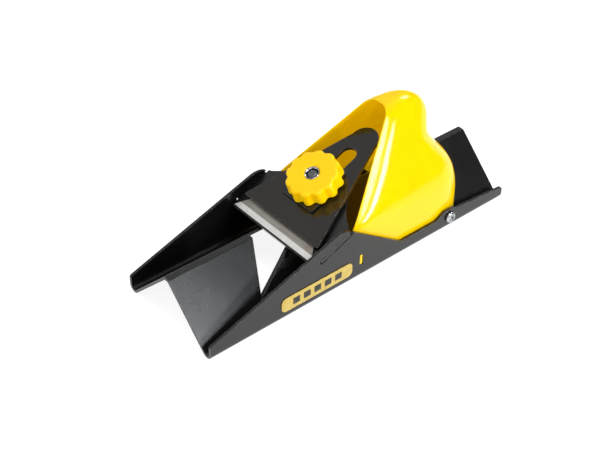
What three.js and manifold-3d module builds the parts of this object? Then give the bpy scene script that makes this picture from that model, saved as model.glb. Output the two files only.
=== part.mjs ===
// Plasterboard chamfer plane: a folded sheet-metal sole, an inclined utility blade held by a knob, and a
// hollow palm grip. Millimetres, +Z up, +X from toe to heel, with the origin on the floor midway along
// the sole. The sole is an inverted V, and it stands on the folds under its two side walls.
import * as THREE from "three";
import { mergeGeometries, mergeVertices } from "three/addons/utils/BufferGeometryUtils.js";
import Module from "manifold-3d";

const wasm = await Module();
wasm.setup();

// ---- driving dimensions -------------------------------------------------------------------------
const LENGTH = 200;
const SHEET = 1.5;
const FOLD_R = 3.5; // outside radius of the folds under the walls
const RIDGE_FLAT = 3.7; // width of the flat on top of the ridge
const GAP = 0.3; // between pieces that touch
const SLIDE_GAP = 0.4; // between the walls and what stands between them

// side walls, heights above the floor
const TOE_H = 8.8;
const TOE_EDGE = 3; // how much of the wall's end above the fold is upright
const PEAK_AHEAD = 3.1; // from the end of the bed's ear forward to the peak's corner
const PEAK_R = 12;
const PEAK_OVER_EAR = 3.2; // from the bed's ear up to the peak's corner
const WALL_FALL = 0.695; // slope from the peak down to the low edge
const WAIST_H = 9.2; // low edge beside the grip
const HEEL_H = 7.9; // at the heel end
const CORNER_R = 1.8; // at the walls' upper ends
const WAIST_R = 6; // at the bends of the low edge
const TAB_R = 5; // round tab at the grip's screw
const TAB_BEND_R = 3;
const TAB_DROP = 1.7; // from the tab's top down to its rear shoulder
const SCREW_X = 59;
const SCREW_Z = 7.6;

// bed and blade: the blade's cutting edge is the bed frame's origin
const EDGE_X = -35.5;
const EDGE_DROP = 5.14; // from the ridge down to the cutting edge
const BED_ANGLE = THREE.MathUtils.degToRad(23.7);
const BED_T = 2;
const BED_FRONT = 0.8; // how far the bed reaches past the cutting edge
const BED_EDGE_GAP = 1; // between the bed's edges and the walls
const BED_SHOULDER_L = 1.5; // full width behind the ears
const BED_TAIL_HALF = 13;
const BED_TAIL_L = 17.5; // behind where the bed enters the grip
const BED_TAIL_END = 5; // length of the tail's parallel end
const BED_GRIP_GAP = 0.8; // between the bed and the inside of the grip
const EAR_FRONT = 3.8;
const EAR_L = 20.2;
const EAR_GAP = 0.25; // over an ear in its slit
const EAR_UNDER_GAP = 0.7; // under an ear and ahead of it
const BLADE_L = 61;
const BLADE_BACK = 33; // length of the blade's short edge
const BLADE_SIDE = 1.9; // between the blade's points and the walls
const BLADE_W = 19;
const BLADE_T = 0.6;
const BEVEL = 3;
const BEVEL_EDGE = 0.1; // thickness left at the cutting edge
const BLADE_NOTCH_R = 1.6;
const BLADE_NOTCH_Y = 8;

// clamp
const CLAMP_T = 1.8;
const CLAMP_FRONT = 7;
const CLAMP_SIDE = 1.5; // from the blade's points in to the clamp's corners
const TONGUE_R = 8;
const TONGUE_X = 68; // centre of the tongue's round end
const STUD_X = 34.2;
const STUD_R = 2.9;
const STUD_HEAD_R = 6;
const STUD_HEAD_T = 2.6;
const SLOT_SIDE = 1.6; // between the stud and the slot's edges
const SLOT_AHEAD = 7.2; // slot's end ahead of the stud's axis
const SLOT_BEHIND = 26.8; // and behind it
const PRESS_FRONT = 14.6; // the pressure plate's reach ahead of the stud
const PRESS_BACK = 9.5; // and behind it
const PRESS_HALF = 11.2;
const PRESS_T = 1.2;
const KNOB_R = 15;
const KNOB_H = 8.2;
const KNOB_LOBES = 12;
const KNOB_FLUTE = 1.3; // depth of a flute
const KNOB_DRAFT = 0.6; // how much less the radius is at the top
const KNOB_ROUND = 1; // rounding of the top rim
const INSERT_WALL = 0.7;

// mouth in the sole
const MOUTH_AHEAD = 13.5; // from the cutting edge forward to the mouth, on the ridge
const MOUTH_LEAN = 0.53; // how far forward the front edge leans per unit of depth
const MOUTH_CLEAR = 2; // between the bed's underside and the mouth's rear edge
const MOUTH_TIP_R = 0.8;
const MOUTH_SLIT = 1; // width of the relief slit below the mouth
const MOUTH_SLIT_DEPTH = 3.2;

// grip
const GRIP_FRONT = -7.7;
const GRIP_KNEE = 0.8; // from the ridge up to where the grip's open front begins to lean back
const GRIP_RISE = 43; // from there up to the grip's top
const GRIP_RUN = 1; // how far the open front leans back per unit of height
const GRIP_WALL = 2.2;
const GRIP_SIDE_IN = 0.2; // how far inside the sliding gap the grip's widest sides stand
const GRIP_FRONT_IN = 1.7; // how far inside the walls the open front's edges stand
const GRIP_NARROW = 0.785; // how much of the open front's width is lost from the knee to the top
const GRIP_TOP_HALF = 2;
const GRIP_AHEAD = 8; // how far the uncut shell reaches ahead of its open front
const GRIP_FOOT = 5.2; // height of the grip's lower edge beside the walls
const BOSS_R = 4.4;
const BOSS_DEPTH = 6.5;
const NUB_BEHIND = 3.2; // from the grip's front edge to the nub's axis
const NUB_Z = 11.7;
const NUB_W = 2.3;
const NUB_H = 6.6;

// The grip's outline at rising heights: the height as a share of the knee's height (first three) or of
// the rise above it, the half width as a share of the grip's, the places where the round back begins
// and ends, measured from the screws, and how square the back is.
const GRIP_BELOW = [
  [0.07, 1, -11, 18, 3],
  [0.67, 0.997, -11, 17.5, 3],
  [1, 0.981, -12, 16, 2.8],
];
const GRIP_ABOVE = [
  [0.139, 0.912, -13, 13.5, 2.7],
  [0.279, 0.811, -14, 9, 2.5],
  [0.395, 0.717, -14, 5.5, 2.3],
  [0.512, 0.616, -14, 3.5, 2.2],
  [0.628, 0.522, -13, 5, 2.1],
  [0.721, 0.453, -13, 6.5, 2],
  [0.814, 0.377, -13, 5, 2],
  [0.895, 0.302, -14, 1.5, 2],
  [0.96, 0.214, -16, -4, 2],
  [0.993, 0.132, -18, -9.5, 2],
  [1, 0.069, -19, -13, 2],
];

// grip screws
const SCREW_R = 1.7;
const SCREW_HEAD_R = 3.1;
const SCREW_HEAD_T = 1.9;
const SCREW_L = 7.5; // under the head

// labels
const LABEL_X = -34;
const LABEL_Z = 9.7;
const LABEL_L = 46;
const LABEL_H = 8.6;
const LABEL_T = 0.3;
const LABEL_GAP = 0.1;

// ---- derived ------------------------------------------------------------------------------------
const TOE = -LENGTH / 2;
const HEEL = LENGTH / 2;
const INNER = BLADE_L / 2 + BLADE_SIDE;
const HALF = INNER + SHEET;
const ROOT2 = Math.SQRT2;
const RIDGE_H = HALF - RIDGE_FLAT / 2 + (SHEET - FOLD_R) * ROOT2; // puts the folds' undersides at z = 0
const V_TOP = RIDGE_H + RIDGE_FLAT / 2; // the guide faces' upper side is z = V_TOP - |y|
const EDGE_Z = RIDGE_H - EDGE_DROP;
const BED_TAN = Math.tan(BED_ANGLE);
const BED_COS = Math.cos(BED_ANGLE);
const BED_UNDER = -GAP - BED_T; // height of the bed's underside in the bed frame
const BED_HALF = INNER - BED_EDGE_GAP;
const EAR_BACK = EAR_FRONT + EAR_L;
const PEAK_X = EDGE_X + EAR_BACK * BED_COS - PEAK_AHEAD;
const PEAK_Z = EDGE_Z + EAR_BACK * Math.sin(BED_ANGLE) + PEAK_OVER_EAR;
const BED_IN_GRIP = (GRIP_FRONT - EDGE_X) / BED_COS; // where the bed enters the grip
const BED_TAIL = BED_IN_GRIP + BED_TAIL_L;
const CLAMP_UNDER = BLADE_T + GAP;
const CLAMP_HALF = BLADE_L / 2 - CLAMP_SIDE;
const SLOT_HALF = STUD_R + SLOT_SIDE;
const PRESS_UNDER = CLAMP_UNDER + CLAMP_T + GAP;
const KNOB_UNDER = PRESS_UNDER + PRESS_T + GAP;
const KNOB_TOP = KNOB_UNDER + KNOB_H;
const INSERT_R = STUD_R + GAP + INSERT_WALL;
const MOUTH_TOP_X = EDGE_X - MOUTH_AHEAD;
const GRIP_HALF = INNER - SLIDE_GAP - GRIP_SIDE_IN;
const GRIP_KNEE_Z = RIDGE_H + GRIP_KNEE;
const NUB_X = GRIP_FRONT + NUB_BEHIND;

// ---- materials ----------------------------------------------------------------------------------
const finish = (color, roughness, metalness) =>
  new THREE.MeshStandardMaterial({ color, roughness, metalness });
const BLACK_PAINT = () => finish(0x26262a, 0.3, 0);
const YELLOW_PLASTIC = () => finish(0xffd400, 0.28, 0);
const ZINC = () => finish(0xc9ccd0, 0.3, 1);
const STEEL = () => finish(0xbfbfba, 0.35, 1);
const LABEL_GOLD = () => finish(0xe6cf6e, 0.5, 0);

// ---- solids -------------------------------------------------------------------------------------
const solid = (geometry) => {
  const bare = geometry.index ? geometry.toNonIndexed() : geometry.clone();
  bare.deleteAttribute("normal");
  bare.deleteAttribute("uv");
  const merged = mergeVertices(bare, 1e-4);
  return new wasm.Manifold(
    new wasm.Mesh({
      numProp: 3,
      vertProperties: new Float32Array(merged.attributes.position.array),
      triVerts: new Uint32Array(merged.index.array),
    }),
  );
};

const named = (name, body, material) => {
  const { numProp, vertProperties, triVerts } = body.getMesh();
  const geometry = new THREE.BufferGeometry();
  geometry.setAttribute("position", new THREE.BufferAttribute(vertProperties, numProp));
  geometry.setIndex(new THREE.BufferAttribute(triVerts, 1));
  geometry.computeVertexNormals();
  const mesh = new THREE.Mesh(geometry, material);
  mesh.name = name;
  return mesh;
};

const box = (x0, x1, y0, y1, z0, z1) =>
  solid(
    new THREE.BoxGeometry(x1 - x0, y1 - y0, z1 - z0).translate(
      (x0 + x1) / 2,
      (y0 + y1) / 2,
      (z0 + z1) / 2,
    ),
  );

// A polygon whose corners [u, v, radius] are rounded by arcs.
const rounded = (corners, steps = 6) => {
  const points = [];
  corners.forEach(([u, v, radius = 0], i) => {
    const here = new THREE.Vector2(u, v);
    if (radius === 0) {
      points.push(here);
      return;
    }
    const [pu, pv] = corners[(i + corners.length - 1) % corners.length];
    const [nu, nv] = corners[(i + 1) % corners.length];
    const back = new THREE.Vector2(pu - u, pv - v).normalize();
    const on = new THREE.Vector2(nu - u, nv - v).normalize();
    const half = Math.acos(THREE.MathUtils.clamp(back.dot(on), -1, 1)) / 2;
    const reach = radius / Math.tan(half);
    const centre = here.clone().addScaledVector(back.clone().add(on).normalize(), radius / Math.sin(half));
    const from = here.clone().addScaledVector(back, reach).sub(centre);
    const turn = (Math.PI - 2 * half) * Math.sign(back.cross(on)) * -1;
    for (let k = 0; k <= steps; k++) {
      points.push(from.clone().rotateAround(new THREE.Vector2(), (turn * k) / steps).add(centre));
    }
  });
  return new THREE.Shape(points);
};

const disc = (u, v, radius, steps = 32) => {
  const points = [];
  for (let k = 0; k < steps; k++) {
    const a = (2 * Math.PI * k) / steps;
    points.push(new THREE.Vector2(u + radius * Math.cos(a), v + radius * Math.sin(a)));
  }
  return new THREE.Shape(points);
};

const extrude = (shape, depth) =>
  new THREE.ExtrudeGeometry(shape, { depth, bevelEnabled: false, curveSegments: 8 });

// shape (u, v) -> (y, z), drawn out along x
const alongX = (shape, x0, x1) =>
  solid(
    extrude(shape, x1 - x0)
      .applyMatrix4(new THREE.Matrix4().set(0, 0, 1, 0, 1, 0, 0, 0, 0, 1, 0, 0, 0, 0, 0, 1))
      .translate(x0, 0, 0),
  );

// shape (u, v) -> (x, z), drawn out along y
const alongY = (shape, y0, y1) =>
  solid(extrude(shape, y1 - y0).rotateX(Math.PI / 2).translate(0, y1, 0));

// shape (u, v) -> (x, y), drawn out along z
const alongZ = (shape, z0, z1) => solid(extrude(shape, z1 - z0).translate(0, 0, z0));

const lathe = (profile, segments = 40) =>
  solid(
    new THREE.LatheGeometry(
      profile.map(([r, z]) => new THREE.Vector2(r, z)),
      segments,
    ).rotateX(Math.PI / 2),
  );

const onBothSides = (body) => body.add(body.mirror([0, 1, 0]));

// ---- bed frame: x up along the bed, z square to it ------------------------------------------------
const bedMatrix = new THREE.Matrix4()
  .makeTranslation(EDGE_X, 0, EDGE_Z)
  .multiply(new THREE.Matrix4().makeRotationY(-BED_ANGLE));
const inPlace = (body) => body.transform(bedMatrix.elements);

// ---- grip's outline -------------------------------------------------------------------------------
const GRIP_STATIONS = [
  ...GRIP_BELOW.map(([z, ...rest]) => [z * GRIP_KNEE_Z, ...rest]),
  ...GRIP_ABOVE.map(([z, ...rest]) => [GRIP_KNEE_Z + z * GRIP_RISE, ...rest]),
].map(([z, half, back, end, square]) => [z, half * GRIP_HALF, SCREW_X + back, SCREW_X + end, square]);

const aboveKnee = (z) => Math.max(0, z - GRIP_KNEE_Z);

// Half width of the grip's open front at a height.
const gripFrontHalf = (z) =>
  Math.max(GRIP_TOP_HALF, (INNER - GRIP_FRONT_IN) * (1 - (GRIP_NARROW * aboveKnee(z)) / GRIP_RISE));

const gripInside = (z) => gripFrontHalf(z) - GRIP_WALL;

// ---- body ---------------------------------------------------------------------------------------
const sheetSection = () => {
  const outerLow = V_TOP - SHEET * ROOT2; // the guide faces' lower side is z = outerLow - |y|
  const innerRidge = RIDGE_FLAT / 2 - SHEET * (ROOT2 - 1);
  const top = PEAK_Z + 1;
  const ridgeRound = 1;
  return rounded([
    [-HALF, top],
    [-HALF, outerLow - HALF, FOLD_R],
    [-innerRidge, RIDGE_H - SHEET, ridgeRound],
    [innerRidge, RIDGE_H - SHEET, ridgeRound],
    [HALF, outerLow - HALF, FOLD_R],
    [HALF, top],
    [INNER, top],
    [INNER, V_TOP - INNER, FOLD_R - SHEET],
    [RIDGE_FLAT / 2, RIDGE_H, ridgeRound],
    [-RIDGE_FLAT / 2, RIDGE_H, ridgeRound],
    [-INNER, V_TOP - INNER, FOLD_R - SHEET],
    [-INNER, top],
  ]);
};

// The space above a side wall, as an (x, z) outline.
const aboveWall = () => {
  const sky = PEAK_Z + 5;
  const waistX = PEAK_X + (PEAK_Z - WAIST_H) / WALL_FALL;
  const tabTop = SCREW_Z + TAB_R;
  return rounded([
    [TOE - 1, sky],
    [TOE - 1, TOE_H - TOE_EDGE],
    [TOE, TOE_H - TOE_EDGE],
    [TOE, TOE_H, CORNER_R],
    [PEAK_X, PEAK_Z, PEAK_R],
    [waistX, WAIST_H, WAIST_R],
    [SCREW_X - 2 * TAB_R, WAIST_H, WAIST_R],
    [SCREW_X - 0.8 * TAB_R, tabTop, TAB_BEND_R],
    [SCREW_X + 0.5 * TAB_R, tabTop, TAB_BEND_R],
    [SCREW_X + 1.3 * TAB_R, tabTop - TAB_DROP, WAIST_R],
    [HEEL, HEEL_H, CORNER_R],
    [HEEL, HEEL_H - TOE_EDGE],
    [HEEL + 1, HEEL_H - TOE_EDGE],
    [HEEL + 1, sky],
  ]);
};

// The notch through the ridge: its rear edge runs under the bed, its front edge leans forward.
const mouthFront = (z) => MOUTH_TOP_X - (RIDGE_H - z) * MOUTH_LEAN;
const mouthRear = (x) => EDGE_Z + (x - EDGE_X) * BED_TAN + (BED_UNDER - MOUTH_CLEAR) / BED_COS;
const mouthTip = mouthRear(mouthFront(0)) / (1 - BED_TAN * MOUTH_LEAN);

const mouthOutline = () => {
  const sky = RIDGE_H + 5;
  return rounded([
    [mouthFront(sky), sky],
    [mouthFront(mouthTip), mouthTip, MOUTH_TIP_R],
    [EDGE_X + (sky - mouthRear(EDGE_X)) / BED_TAN, sky],
  ]);
};

const mouthSlit = () => {
  const low = mouthTip - MOUTH_SLIT_DEPTH;
  const top = mouthTip + 3 * MOUTH_SLIT;
  return new THREE.Shape([
    new THREE.Vector2(mouthFront(low), low),
    new THREE.Vector2(mouthFront(low) + MOUTH_SLIT, low),
    new THREE.Vector2(mouthFront(top) + MOUTH_SLIT, top),
    new THREE.Vector2(mouthFront(top), top),
  ]);
};

const earSlit = () =>
  inPlace(
    box(
      EAR_FRONT - EAR_UNDER_GAP,
      BED_TAIL,
      BED_HALF,
      HALF + 1,
      BED_UNDER - EAR_UNDER_GAP,
      -GAP + EAR_GAP,
    ),
  );

const makeBody = () => {
  const overWalls = alongY(aboveWall(), INNER - 0.1, HALF + 1);
  const screwHole = alongY(disc(SCREW_X, SCREW_Z, SCREW_R + GAP, 20), INNER - 1, HALF + 1);
  const nubSlot = box(
    NUB_X - NUB_W / 2,
    NUB_X + NUB_W / 2,
    INNER - 1,
    HALF + 1,
    NUB_Z - NUB_H / 2,
    NUB_Z + NUB_H / 2,
  );
  const wallCuts = overWalls.add(screwHole).add(nubSlot).add(earSlit());
  const plateReach = INNER - 1;
  const soleCuts = alongY(mouthOutline(), -plateReach, plateReach).add(
    alongY(mouthSlit(), -plateReach, plateReach),
  );
  const folded = alongX(sheetSection(), TOE, HEEL);
  return folded.subtract(onBothSides(wallCuts)).subtract(soleCuts);
};

// ---- bed, blade and clamp (all in the bed frame) --------------------------------------------------
// The bed narrows behind its ears so that it passes inside the grip.
const makeBed = () => {
  const gripAt = EDGE_Z + BED_IN_GRIP * Math.sin(BED_ANGLE);
  const right = [
    [-BED_FRONT, -BED_HALF, 1],
    [EAR_FRONT, -BED_HALF],
    [EAR_FRONT, -HALF],
    [EAR_BACK, -HALF],
    [EAR_BACK, -BED_HALF],
    [EAR_BACK + BED_SHOULDER_L, -BED_HALF],
    [BED_IN_GRIP, BED_GRIP_GAP - gripInside(gripAt)],
    [BED_TAIL - BED_TAIL_END, -BED_TAIL_HALF],
    [BED_TAIL, -BED_TAIL_HALF, 3],
  ];
  const left = right.map(([u, v, r]) => [u, -v, r]).reverse();
  const plate = alongZ(rounded([...right, ...left]), BED_UNDER, -GAP);
  return plate.subtract(alongZ(disc(STUD_X, 0, STUD_R + GAP), BED_UNDER - 1, 1));
};

const makeBlade = () => {
  const slant = (BLADE_L - BLADE_BACK) / 2;
  const outline = rounded([
    [0, -BLADE_L / 2],
    [BLADE_W, slant - BLADE_L / 2],
    [BLADE_W, BLADE_L / 2 - slant],
    [0, BLADE_L / 2],
  ]);
  // ground on both sides to a thin edge
  const ground = rounded([
    [0, (BLADE_T - BEVEL_EDGE) / 2],
    [BEVEL, 0],
    [BLADE_W + 1, 0],
    [BLADE_W + 1, BLADE_T],
    [BEVEL, BLADE_T],
    [0, (BLADE_T + BEVEL_EDGE) / 2],
  ]);
  const notch = (y) => alongZ(disc(BLADE_W, y, BLADE_NOTCH_R, 16), -1, BLADE_T + 1);
  return alongZ(outline, 0, BLADE_T)
    .intersect(alongY(ground, -BLADE_L, BLADE_L))
    .subtract(notch(-BLADE_NOTCH_Y))
    .subtract(notch(BLADE_NOTCH_Y));
};

const makeClamp = () => {
  const top = CLAMP_UNDER + CLAMP_T;
  const endX = TONGUE_X + TONGUE_R;
  const outline = rounded(
    [
      [CLAMP_FRONT, -CLAMP_HALF, 0.8],
      [TONGUE_X, -TONGUE_R],
      [endX, -TONGUE_R, TONGUE_R - 0.01],
      [endX, TONGUE_R, TONGUE_R - 0.01],
      [TONGUE_X, TONGUE_R],
      [CLAMP_FRONT, CLAMP_HALF, 0.8],
    ],
    10,
  );
  const slot = rounded(
    [
      [STUD_X - SLOT_AHEAD, -SLOT_HALF, SLOT_HALF - 0.01],
      [STUD_X + SLOT_BEHIND, -SLOT_HALF, SLOT_HALF - 0.01],
      [STUD_X + SLOT_BEHIND, SLOT_HALF, SLOT_HALF - 0.01],
      [STUD_X - SLOT_AHEAD, SLOT_HALF, SLOT_HALF - 0.01],
    ],
    8,
  );
  return alongZ(outline, CLAMP_UNDER, top).subtract(alongZ(slot, CLAMP_UNDER - 1, top + 1));
};

const makeStud = () => {
  const headTop = BED_UNDER - GAP;
  return lathe([
    [0, headTop - STUD_HEAD_T],
    [STUD_HEAD_R - 1.5, headTop - STUD_HEAD_T],
    [STUD_HEAD_R, headTop - STUD_HEAD_T / 2],
    [STUD_HEAD_R, headTop],
    [STUD_R, headTop],
    [STUD_R, KNOB_TOP - 1],
    [STUD_R - 0.5, KNOB_TOP - 0.5],
    [0, KNOB_TOP - 0.5],
  ]).translate([STUD_X, 0, 0]);
};

const makePressurePlate = () => {
  const x0 = STUD_X - PRESS_FRONT;
  const x1 = STUD_X + PRESS_BACK;
  const outline = rounded([
    [x0, -PRESS_HALF, 0.8],
    [x1, -PRESS_HALF, 3],
    [x1, PRESS_HALF, 3],
    [x0, PRESS_HALF, 0.8],
  ]);
  const top = PRESS_UNDER + PRESS_T;
  return alongZ(outline, PRESS_UNDER, top).subtract(
    alongZ(disc(STUD_X, 0, STUD_R + GAP), PRESS_UNDER - 1, top + 1),
  );
};

// A star with round lobes: the flutes follow a cosine.
const lobed = (radius, flute) => {
  const steps = KNOB_LOBES * 8;
  const points = [];
  for (let k = 0; k < steps; k++) {
    const a = (2 * Math.PI * k) / steps;
    const dip = (1 - Math.cos(KNOB_LOBES * a)) / 2;
    points.push(new THREE.Vector2(Math.cos(a), Math.sin(a)).multiplyScalar(radius - flute * dip ** 1.5));
  }
  return points;
};

// A solid through rings of points, each ring the same count, listed from the lowest up.
const loft = (rings) => {
  const count = rings[0].length;
  const positions = [];
  const push = (...points) => points.forEach((p) => positions.push(p.x, p.y, p.z));
  for (let i = 0; i + 1 < rings.length; i++) {
    for (let k = 0; k < count; k++) {
      const next = (k + 1) % count;
      push(rings[i][k], rings[i][next], rings[i + 1][next]);
      push(rings[i][k], rings[i + 1][next], rings[i + 1][k]);
    }
  }
  const cap = (ring, up) => {
    const faces = THREE.ShapeUtils.triangulateShape(
      ring.map((p) => new THREE.Vector2(p.x, p.y)),
      [],
    );
    faces.forEach(([a, b, c]) => (up ? push(ring[a], ring[b], ring[c]) : push(ring[a], ring[c], ring[b])));
  };
  cap(rings[0], false);
  cap(rings[rings.length - 1], true);
  const geometry = new THREE.BufferGeometry();
  geometry.setAttribute("position", new THREE.Float32BufferAttribute(positions, 3));
  return solid(geometry);
};

const makeKnob = () => {
  const ring = (radius, flute, z) =>
    lobed(radius, flute).map((p) => new THREE.Vector3(p.x, p.y, z));
  const topR = KNOB_R - KNOB_DRAFT;
  const rings = [
    ring(KNOB_R - 0.4, KNOB_FLUTE, KNOB_UNDER),
    ring(KNOB_R, KNOB_FLUTE, KNOB_UNDER + 0.5),
    ring(topR, KNOB_FLUTE, KNOB_TOP - KNOB_ROUND),
    ring(topR - 0.3 * KNOB_ROUND, KNOB_FLUTE, KNOB_TOP - 0.3 * KNOB_ROUND),
    ring(topR - KNOB_ROUND, KNOB_FLUTE * 0.8, KNOB_TOP),
  ];
  const bore = lathe([
    [0, KNOB_UNDER - 1],
    [INSERT_R + GAP, KNOB_UNDER - 1],
    [INSERT_R + GAP, KNOB_TOP + 1],
    [0, KNOB_TOP + 1],
  ]);
  return loft(rings).subtract(bore).translate([STUD_X, 0, 0]);
};

const makeInsert = () =>
  lathe([
    [STUD_R + GAP, KNOB_UNDER],
    [INSERT_R, KNOB_UNDER],
    [INSERT_R, KNOB_TOP],
    [STUD_R + GAP, KNOB_TOP],
    [STUD_R + GAP, KNOB_UNDER],
  ]).translate([STUD_X, 0, 0]);

// ---- grip ---------------------------------------------------------------------------------------
const gripRing = ([z, half, backX, endX, square], inset, drop) => {
  const start = GRIP_FRONT - GRIP_AHEAD + GRIP_RUN * aboveKnee(z);
  const front = Math.min(half, gripFrontHalf(z)) - inset;
  const wide = half - inset;
  const end = endX - inset;
  const openX = start + GRIP_AHEAD;
  const sideSteps = 5;
  const backSteps = 12;
  const side = [];
  for (let k = 0; k < sideSteps; k++) {
    const x = start + ((backX - start) * k) / sideSteps;
    const t = (x - openX) / (backX - openX);
    side.push(new THREE.Vector3(x, front + (wide - front) * t, z - drop));
  }
  for (let k = 0; k <= backSteps; k++) {
    const a = (Math.PI / 2) * (k / backSteps);
    const x = backX + (end - backX) * Math.sin(a) ** (2 / square);
    const y = wide * Math.cos(a) ** (2 / square);
    side.push(new THREE.Vector3(x, k === backSteps ? 0 : y, z - drop));
  }
  const other = side
    .slice(0, -1)
    .map((p) => new THREE.Vector3(p.x, -p.y, p.z))
    .reverse();
  return [...side, ...other].reverse();
};

// Outlines between the stations, so that the surface curves evenly upwards.
const gripLevels = () => {
  const levels = [];
  GRIP_STATIONS.slice(0, -1).forEach((low, i) => {
    const at = (k) => GRIP_STATIONS[THREE.MathUtils.clamp(i + k, 0, GRIP_STATIONS.length - 1)];
    const [a, , c, d] = [at(-1), low, at(1), at(2)];
    [0, 0.5].forEach((t) => {
      levels.push(
        low.map((v, j) =>
          j === 0 ? v + (c[0] - v) * t : t === 0 ? v : (9 * (v + c[j]) - a[j] - d[j]) / 16,
        ),
      );
    });
  });
  return [...levels, GRIP_STATIONS.at(-1)];
};

const makeGrip = () => {
  const levels = gripLevels();
  const outer = loft(levels.map((level) => gripRing(level, 0, 0)));
  const hollowTop = levels.filter(([, half]) => half > GRIP_WALL + 2);
  const inner = loft(
    [[levels[0][0] - 2, ...levels[0].slice(1)], ...hollowTop].map((level) =>
      gripRing(level, GRIP_WALL - 0.4, GRIP_WALL - 0.6),
    ),
  );
  const boss = alongY(disc(SCREW_X, SCREW_Z, BOSS_R, 24), INNER - SLIDE_GAP - BOSS_DEPTH, INNER - SLIDE_GAP - 0.1);
  const nub = box(
    NUB_X - NUB_W / 2 + GAP,
    NUB_X + NUB_W / 2 - GAP,
    INNER - GRIP_WALL,
    HALF - GAP,
    NUB_Z - NUB_H / 2 + GAP,
    NUB_Z + NUB_H / 2 - GAP,
  );
  const pilot = alongY(disc(SCREW_X, SCREW_Z, SCREW_R + GAP, 20), INNER - BOSS_DEPTH - 8, HALF);
  const openFront = alongY(
    new THREE.Shape([
      new THREE.Vector2(TOE, -10),
      new THREE.Vector2(GRIP_FRONT, -10),
      new THREE.Vector2(GRIP_FRONT, GRIP_KNEE_Z),
      new THREE.Vector2(GRIP_FRONT + GRIP_RUN * LENGTH, GRIP_KNEE_Z + LENGTH),
      new THREE.Vector2(TOE, GRIP_KNEE_Z + LENGTH),
    ]),
    -HALF,
    HALF,
  );
  const soleClear = SLIDE_GAP * ROOT2;
  const underSole = alongX(
    new THREE.Shape([
      new THREE.Vector2(-HALF, -10),
      new THREE.Vector2(HALF, -10),
      new THREE.Vector2(HALF, GRIP_FOOT),
      new THREE.Vector2(V_TOP + soleClear - GRIP_FOOT, GRIP_FOOT),
      new THREE.Vector2(V_TOP + soleClear - RIDGE_H - SLIDE_GAP, RIDGE_H + SLIDE_GAP),
      new THREE.Vector2(RIDGE_H + SLIDE_GAP - V_TOP - soleClear, RIDGE_H + SLIDE_GAP),
      new THREE.Vector2(GRIP_FOOT - V_TOP - soleClear, GRIP_FOOT),
      new THREE.Vector2(-HALF, GRIP_FOOT),
    ]),
    TOE,
    HEEL + 10,
  );
  return outer
    .subtract(inner)
    .add(onBothSides(boss))
    .subtract(openFront)
    .subtract(underSole)
    .add(onBothSides(nub))
    .subtract(onBothSides(pilot));
};

// ---- screws and labels --------------------------------------------------------------------------
// A pan head screw with a cross recess, its axis along y, its head outside the near wall.
const makeScrew = () => {
  const under = HALF + GAP;
  const top = under + SCREW_HEAD_T;
  const turned = lathe(
    [
      [0, under - SCREW_L],
      [SCREW_R - 0.9, under - SCREW_L],
      [SCREW_R, under - SCREW_L + 1.5],
      [SCREW_R, under],
      [SCREW_HEAD_R, under],
      [SCREW_HEAD_R, under + 0.5 * SCREW_HEAD_T],
      [0.75 * SCREW_HEAD_R, top - 0.15 * SCREW_HEAD_T],
      [0.4 * SCREW_HEAD_R, top],
      [0, top],
    ],
    28,
  );
  const arm = 0.62 * SCREW_HEAD_R;
  const slotHalf = 0.13 * SCREW_HEAD_R;
  const depth = 0.6 * SCREW_HEAD_T;
  const cross = box(-arm, arm, -slotHalf, slotHalf, top - depth, top + 1).add(
    box(-slotHalf, slotHalf, -arm, arm, top - depth, top + 1),
  );
  return turned.subtract(cross);
};

const makeLabel = () => {
  const u = LABEL_L / 2;
  const v = LABEL_H / 2;
  const r = 0.35 * LABEL_H;
  return alongZ(
    rounded([
      [-u, -v, r],
      [u, -v, r],
      [u, v, r],
      [-u, v, r],
    ]),
    0,
    LABEL_T,
  );
};

// ---- assembly -----------------------------------------------------------------------------------
const plane = new THREE.Group();
plane.add(named("body", makeBody(), BLACK_PAINT()));

const bedFrame = new THREE.Group();
bedFrame.position.set(EDGE_X, 0, EDGE_Z);
bedFrame.rotation.y = -BED_ANGLE;
bedFrame.add(named("bed_plate", makeBed(), BLACK_PAINT()));
bedFrame.add(named("blade", makeBlade(), STEEL()));
bedFrame.add(named("clamp_plate", makeClamp(), BLACK_PAINT()));
bedFrame.add(named("clamp_stud", makeStud(), STEEL()));
bedFrame.add(named("pressure_plate", makePressurePlate(), ZINC()));
bedFrame.add(named("knob", makeKnob(), YELLOW_PLASTIC()));
bedFrame.add(named("knob_insert", makeInsert(), ZINC()));
plane.add(bedFrame);

plane.add(named("handle", makeGrip(), YELLOW_PLASTIC()));

[
  ["near", -1],
  ["far", 1],
].forEach(([place, side]) => {
  const screw = named(`handle_screw_${place}`, makeScrew(), ZINC());
  screw.position.set(SCREW_X, 0, SCREW_Z);
  screw.rotation.x = (-side * Math.PI) / 2;
  plane.add(screw);
  const label = named(`label_${place}`, makeLabel(), LABEL_GOLD());
  label.position.set(LABEL_X, side * (HALF + LABEL_GAP), LABEL_Z);
  label.rotation.x = (-side * Math.PI) / 2;
  plane.add(label);
});

export default plane;
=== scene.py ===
# Plasterboard chamfer plane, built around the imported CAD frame. Lengths in the constants are
# millimetres, and meshes are scaled to metres when they are made. Lights and camera are in metres.
import math

import bmesh
import bpy
from mathutils import Matrix, Vector


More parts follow.
